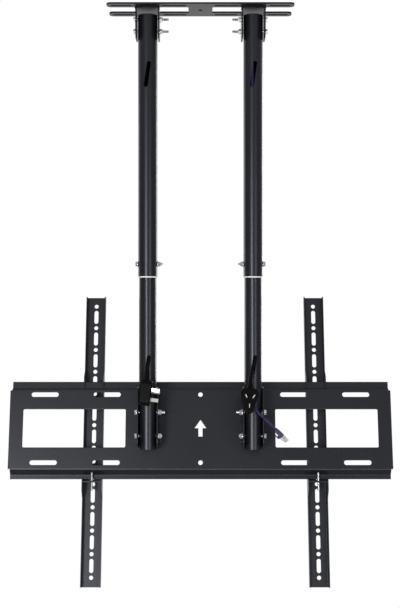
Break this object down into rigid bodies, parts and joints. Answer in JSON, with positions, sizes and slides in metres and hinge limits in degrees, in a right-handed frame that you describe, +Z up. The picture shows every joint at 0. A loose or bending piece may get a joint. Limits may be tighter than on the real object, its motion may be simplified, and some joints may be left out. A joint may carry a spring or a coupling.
{
  "type": "tv ceiling mount",
  "caption": "Ceiling mount for a television: slotted ceiling plate, telescopic poles with cable slots, tilting folded plate and sliding hooked arms with screen holes.",
  "frame": {"origin": "centre of the ceiling plate's top face, on the axis of its centre hole", "axes": "+Z up into the ceiling, +X to the right seen from the pole side, +Y towards the screen"},
  "size_m": [0.842, 0.2121, 1.2526],
  "materials": {
    "black_coat": "satin black powder coat",
    "zinc_steel": "bright zinc plating",
    "white_nylon": "white nylon",
    "plug_black": "moulded black",
    "lead_black": "satin black",
    "blade_metal": "bright nickel plating",
    "lead_purple": "satin purple",
    "clear_plug": "clear moulding"
  },
  "bodies": {
    "ceiling_frame": {"ceiling_plate": "black_coat", "pole_bracket_left": "black_coat", "pole_bracket_right": "black_coat", "outer_tube_left": "black_coat", "outer_tube_right": "black_coat", "guide_bush_left": "white_nylon", "guide_bush_right": "white_nylon", "pole_bolts": "zinc_steel", "pole_washers": "zinc_steel", "pole_nuts": "zinc_steel", "height_bolts": "zinc_steel", "height_washers": "zinc_steel", "height_nuts": "zinc_steel", "mains_runs_upper": "lead_black", "network_run_upper": "lead_purple"},
    "drop_frame": {"inner_tube_left": "black_coat", "inner_tube_right": "black_coat", "pivot_bolts": "zinc_steel", "pivot_washers": "zinc_steel", "pivot_nuts": "zinc_steel", "tilt_bolts": "zinc_steel", "tilt_washers": "zinc_steel", "tilt_nuts": "zinc_steel", "mains_lead_left": "lead_black", "mains_lead_right": "lead_black", "mains_plug_left": "plug_black", "mains_plug_right": "plug_black", "plug_blades_left": "blade_metal", "plug_blades_right": "blade_metal", "mains_runs": "lead_black", "network_lead": "lead_purple", "network_boot": "lead_purple", "network_plug": "clear_plug", "network_run": "lead_purple"},
    "screen_frame": {"tv_plate": "black_coat", "tilt_bracket_left": "black_coat", "tilt_bracket_right": "black_coat"},
    "arm_left": {"screen_arm_left": "black_coat"},
    "arm_right": {"screen_arm_right": "black_coat"},
    "lock_left": {"lock_screw_left": "zinc_steel"},
    "lock_right": {"lock_screw_right": "zinc_steel"}
  },
  "joints": [
    {"name": "height", "type": "slide", "parent": "ceiling_frame", "child": "drop_frame", "axis": [0, 0, 1], "range_m": [-0.12, 0.15]},
    {"name": "tilt", "type": "hinge", "parent": "drop_frame", "child": "screen_frame", "pos_m": [0, 0, -0.874], "axis": [-1, 0, 0], "range_deg": [-12, 3]},
    {"name": "arm_left_slide", "type": "slide", "parent": "screen_frame", "child": "arm_left", "axis": [-1, 0, 0], "range_m": [-0.177, 0.153]},
    {"name": "arm_right_slide", "type": "slide", "parent": "screen_frame", "child": "arm_right", "axis": [1, 0, 0], "range_m": [-0.197, 0.133]},
    {"name": "lock_left_screw", "type": "slide", "parent": "arm_left", "child": "lock_left", "axis": [0, -0.2079, -0.9781], "range_m": [0, 0.015]},
    {"name": "lock_right_screw", "type": "slide", "parent": "arm_right", "child": "lock_right", "axis": [0, -0.2079, -0.9781], "range_m": [0, 0.015]}
  ]
}
